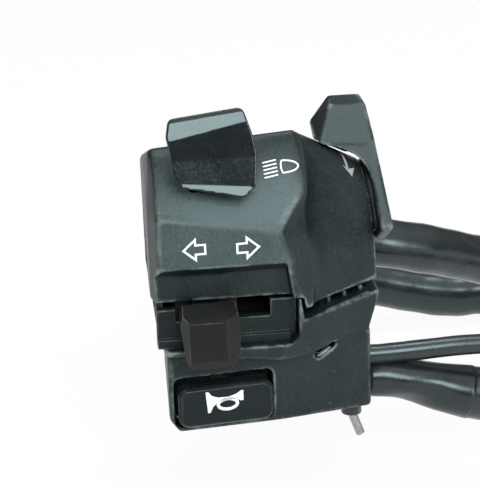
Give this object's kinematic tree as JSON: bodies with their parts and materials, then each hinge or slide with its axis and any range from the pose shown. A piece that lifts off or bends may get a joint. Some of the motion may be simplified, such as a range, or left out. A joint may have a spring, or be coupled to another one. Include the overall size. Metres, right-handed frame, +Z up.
{
  "type": "handlebar switch cluster",
  "caption": "Left handlebar switch cluster with clamp halves, dimmer lever, turn slider, horn button, choke lever, loom and lead.",
  "frame": {"origin": "on the handlebar axis at the middle of the clamp", "axes": "+X along the handlebar towards its middle, +Y forward away from the rider, +Z up"},
  "size_m": [0.1284, 0.1252, 0.0918],
  "materials": {
    "housing": "fine grain, slightly worn",
    "paddle": "polished",
    "button": "satin",
    "knob": "ribbed",
    "slider": "black",
    "steel": "plated",
    "contact": "plain",
    "board": "laminate",
    "sleeve": "shiny sleeve",
    "soft": "moulded",
    "plug": "natural",
    "tie": "plain"
  },
  "bodies": {
    "housing": {"upper_housing": "housing", "lower_housing": "housing", "slot_plate": "housing", "housing_screws": "steel", "clamp_screw": "steel", "loom_clamp": "steel", "dimmer_pin": "steel", "horn_spring": "steel", "choke_washer": "steel", "stub_core": "steel", "turn_studs": "contact", "horn_blades": "contact", "dimmer_studs": "contact", "loom_terminals": "contact", "turn_board": "board", "horn_board": "board", "dimmer_board": "board", "loom": "sleeve", "lead": "sleeve", "loom_boot": "soft", "lead_grommet": "soft", "stub_bush": "soft", "loom_connector": "plug", "lead_connector": "plug", "cable_tie": "tie"},
    "choke_lever": {"choke_lever": "housing", "choke_nipple": "contact"},
    "dimmer_lever": {"dimmer_lever": "paddle", "dimmer_wiper": "contact"},
    "turn_slider": {"turn_carriage": "slider", "turn_wiper": "contact", "detent_ball": "steel", "detent_spring": "steel", "knob_spring": "steel"},
    "turn_knob": {"turn_knob": "knob"},
    "horn_button": {"horn_button": "button", "horn_bridge": "contact"}
  },
  "joints": [
    {"name": "choke_turn", "type": "hinge", "parent": "housing", "child": "choke_lever", "pos_m": [0.0212, 0, 0], "axis": [1, 0, 0], "range_deg": [0, 50]},
    {"name": "dimmer_rock", "type": "hinge", "parent": "housing", "child": "dimmer_lever", "pos_m": [-0.0105, -0.0185, 0.02283], "axis": [1, 0, 0], "range_deg": [-14, 0]},
    {"name": "turn_slide", "type": "slide", "parent": "housing", "child": "turn_slider", "axis": [1, 0, 0], "range_m": [0, 0.0066]},
    {"name": "cancel_push", "type": "slide", "parent": "turn_slider", "child": "turn_knob", "axis": [0, 1, 0], "range_m": [0, 0.0016], "stiffness_N_per_m": 150, "springref_m": -0.004, "deforming": ["knob_spring"]},
    {"name": "horn_push", "type": "slide", "parent": "housing", "child": "horn_button", "axis": [-0.1045, 0.9945, 0], "range_m": [0, 0.002], "stiffness_N_per_m": 200, "springref_m": -0.004, "deforming": ["horn_spring"]}
  ]
}
